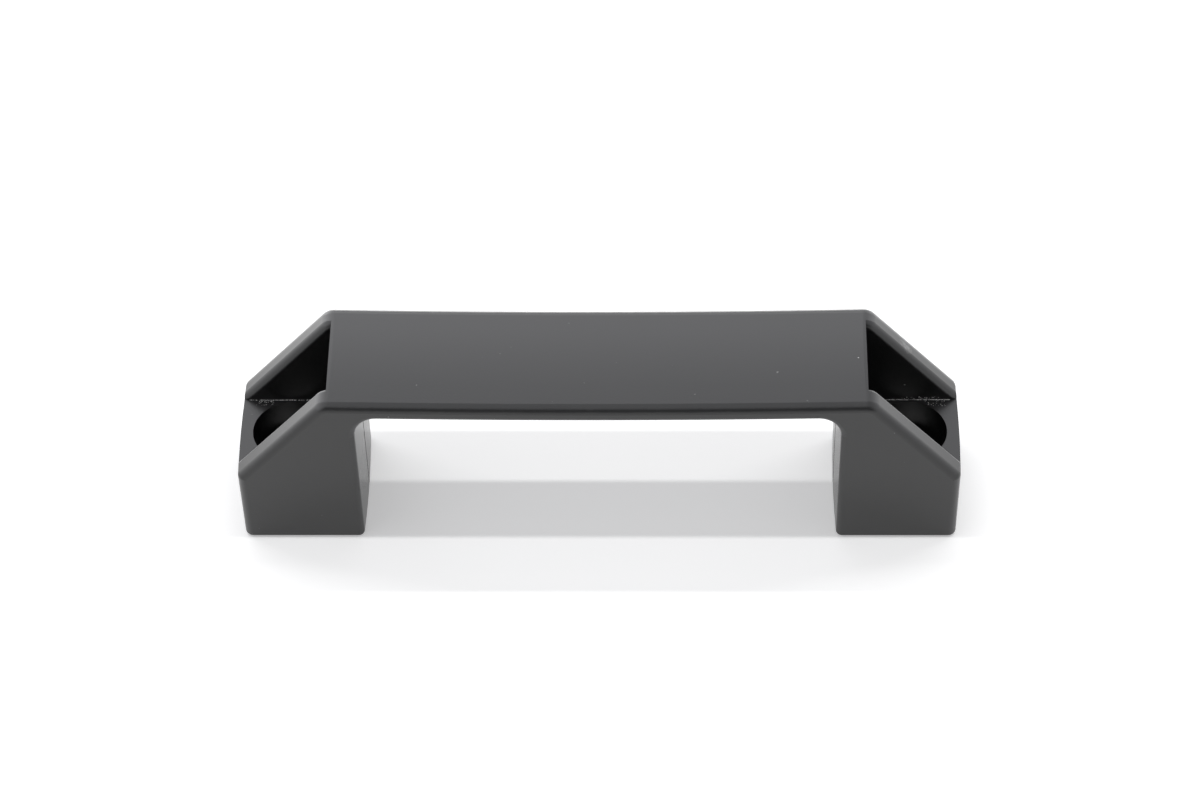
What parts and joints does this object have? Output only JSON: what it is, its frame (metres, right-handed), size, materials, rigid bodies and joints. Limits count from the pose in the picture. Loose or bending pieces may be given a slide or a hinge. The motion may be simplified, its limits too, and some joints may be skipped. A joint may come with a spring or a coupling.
{
  "type": "bridge pull handle",
  "caption": "Black plastic bridge pull handle with a sloped shoulder over each leg and open pockets for its socket-head screws.",
  "frame": {"origin": "middle of the footprint, in the plane of the panel that the feet stand on", "axes": "+X along the grip, +Y from the front of the handle to its back, +Z away from the panel"},
  "size_m": [0.139, 0.0254, 0.0402],
  "materials": {
    "black_plastic": "satin black moulding with a fine grain"
  },
  "bodies": {
    "root": {"handle": "black_plastic"}
  },
  "joints": []
}
